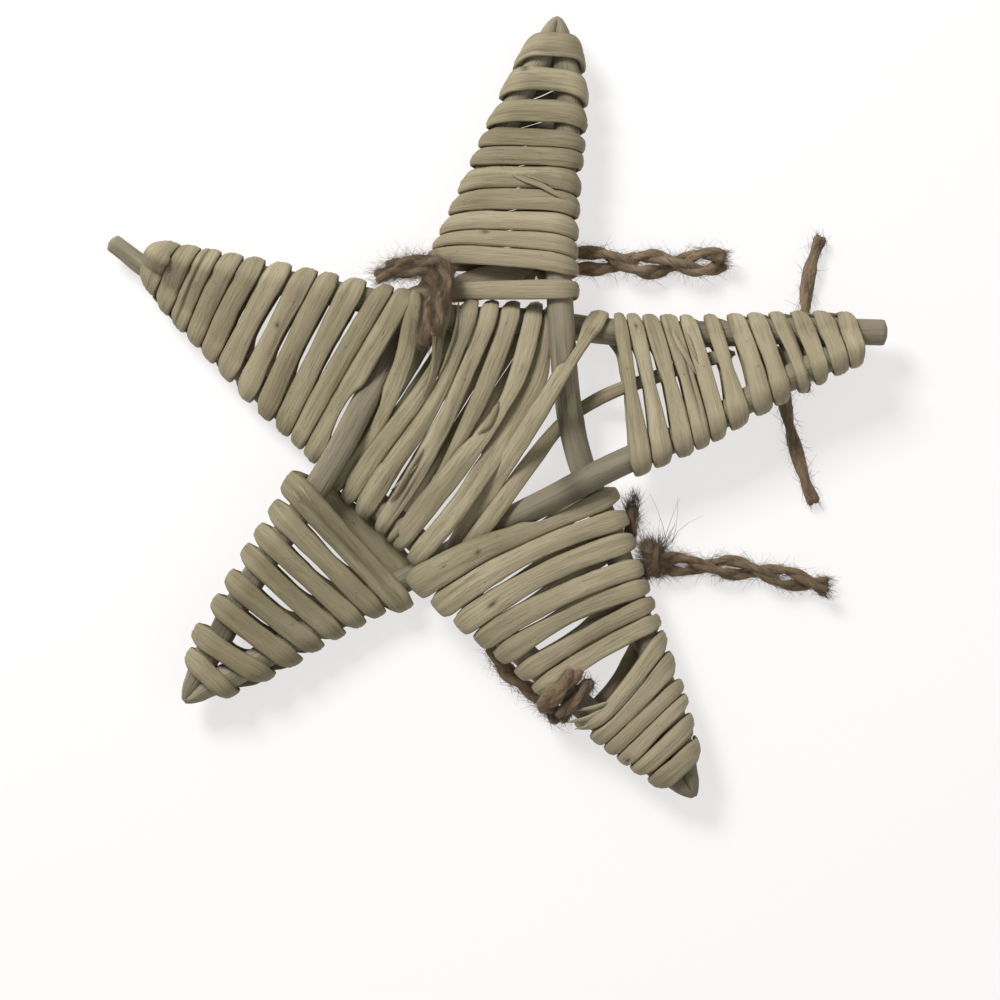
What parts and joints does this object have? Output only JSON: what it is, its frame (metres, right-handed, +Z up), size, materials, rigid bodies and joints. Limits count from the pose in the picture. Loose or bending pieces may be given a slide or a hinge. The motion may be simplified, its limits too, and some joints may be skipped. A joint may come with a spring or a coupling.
{
  "type": "wicker star garland",
  "caption": "Five-pointed star of bent willow rods wound with flat willow strips, with a jute twine tie and twine tails, lying flat.",
  "frame": {"origin": "under the middle of the star's box, on the surface it lies on", "axes": "X and Y lie in the star's plane, with +Y towards its top tip; +Z is up out of the front face, and the star's shortest way"},
  "size_m": [0.1492, 0.1488, 0.0158],
  "materials": {
    "willow_rod": "dry willow bark, matt",
    "willow_strip": "dry split willow, greyed tan, matt",
    "jute": "two-ply brown jute twine, fuzzy"
  },
  "bodies": {
    "root": {"folded_rod": "willow_rod", "cross_rod": "willow_rod", "wrap_top": "willow_strip", "wrap_left": "willow_strip", "wrap_lower_left": "willow_strip", "wrap_lower_right": "willow_strip", "wrap_right": "willow_strip", "wrap_centre": "willow_strip", "tucked_strip": "willow_strip", "twine_loop": "jute", "twine_tie": "jute", "twine_edge": "jute", "twine_knot": "jute", "twine_upper_1": "jute", "twine_upper_2": "jute", "twine_lower_1": "jute", "twine_lower_2": "jute", "twine_back_up": "jute", "twine_back_down": "jute"}
  },
  "joints": []
}
